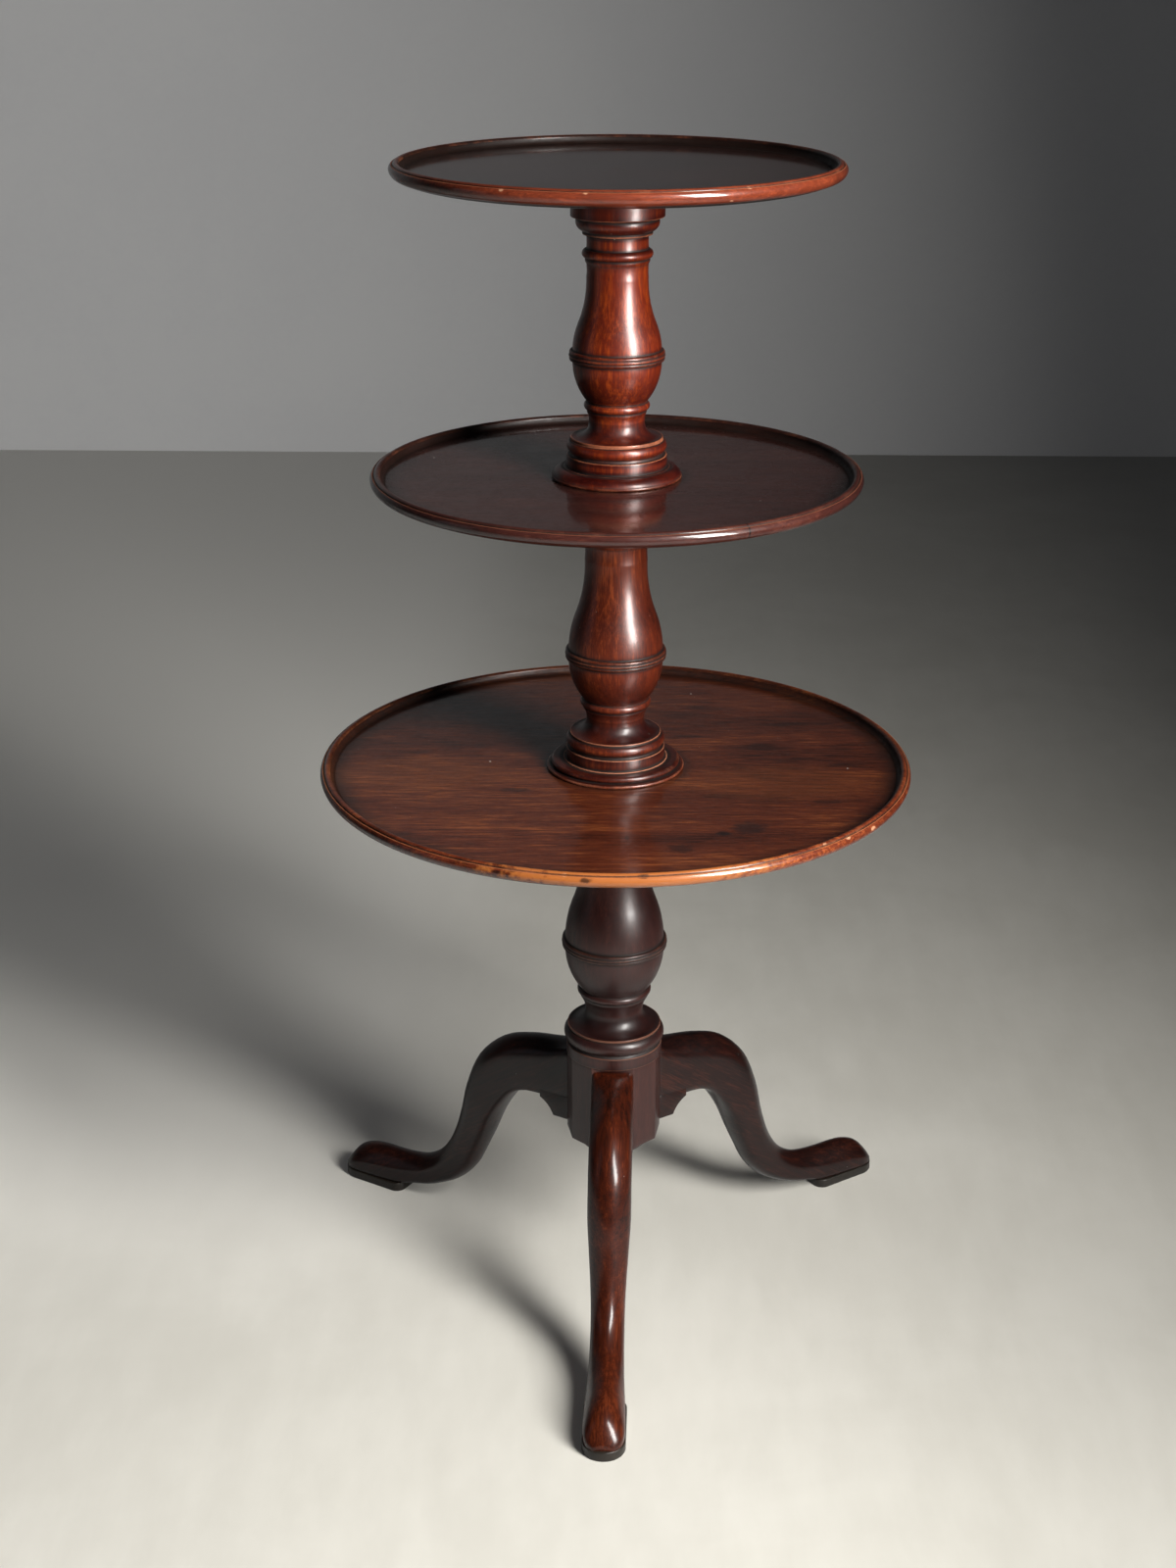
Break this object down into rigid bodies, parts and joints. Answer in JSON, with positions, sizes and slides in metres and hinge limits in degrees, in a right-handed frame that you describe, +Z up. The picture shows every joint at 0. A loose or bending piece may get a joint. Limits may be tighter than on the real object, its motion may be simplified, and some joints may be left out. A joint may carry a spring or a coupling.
{
  "type": "tiered side table",
  "caption": "Free-standing tiered side table: dished round trays revolve on turned baluster columns over a tripod of cabriole legs.",
  "frame": {"origin": "on the column axis at floor level", "axes": "+Z up along the column axis, -Y towards the front leg, +X to the right as seen from the front"},
  "size_m": [0.5886, 0.6305, 1.1295],
  "materials": {
    "column_mahogany": "french polished",
    "leg_mahogany": "french polished",
    "tray_mahogany": "french polished",
    "collar_mahogany": "waxed",
    "ebonised_wood": "ebonised",
    "screw_brass": "aged"
  },
  "bodies": {
    "stand": {"lower_column": "column_mahogany", "middle_column": "column_mahogany", "upper_column": "column_mahogany", "block_cap": "leg_mahogany", "front_leg": "leg_mahogany", "right_leg": "leg_mahogany", "left_leg": "leg_mahogany", "front_foot_pad": "ebonised_wood", "right_foot_pad": "ebonised_wood", "left_foot_pad": "ebonised_wood"},
    "lower_tier": {"lower_tray": "tray_mahogany", "lower_tray_collar": "collar_mahogany", "lower_collar_screws": "screw_brass"},
    "middle_tier": {"middle_tray": "tray_mahogany", "middle_tray_collar": "collar_mahogany", "middle_collar_screws": "screw_brass"},
    "top_tier": {"top_tray": "tray_mahogany", "top_tray_collar": "collar_mahogany", "top_collar_screws": "screw_brass"}
  },
  "joints": [
    {"name": "lower_tray_turn", "type": "hinge", "parent": "stand", "child": "lower_tier", "pos_m": [0, 0, 0.5475], "axis": [0, 0, 1], "continuous": true},
    {"name": "middle_tray_turn", "type": "hinge", "parent": "stand", "child": "middle_tier", "pos_m": [0, 0, 0.8345], "axis": [0, 0, 1], "continuous": true},
    {"name": "top_tray_turn", "type": "hinge", "parent": "stand", "child": "top_tier", "pos_m": [0, 0, 1.112], "axis": [0, 0, 1], "continuous": true}
  ]
}
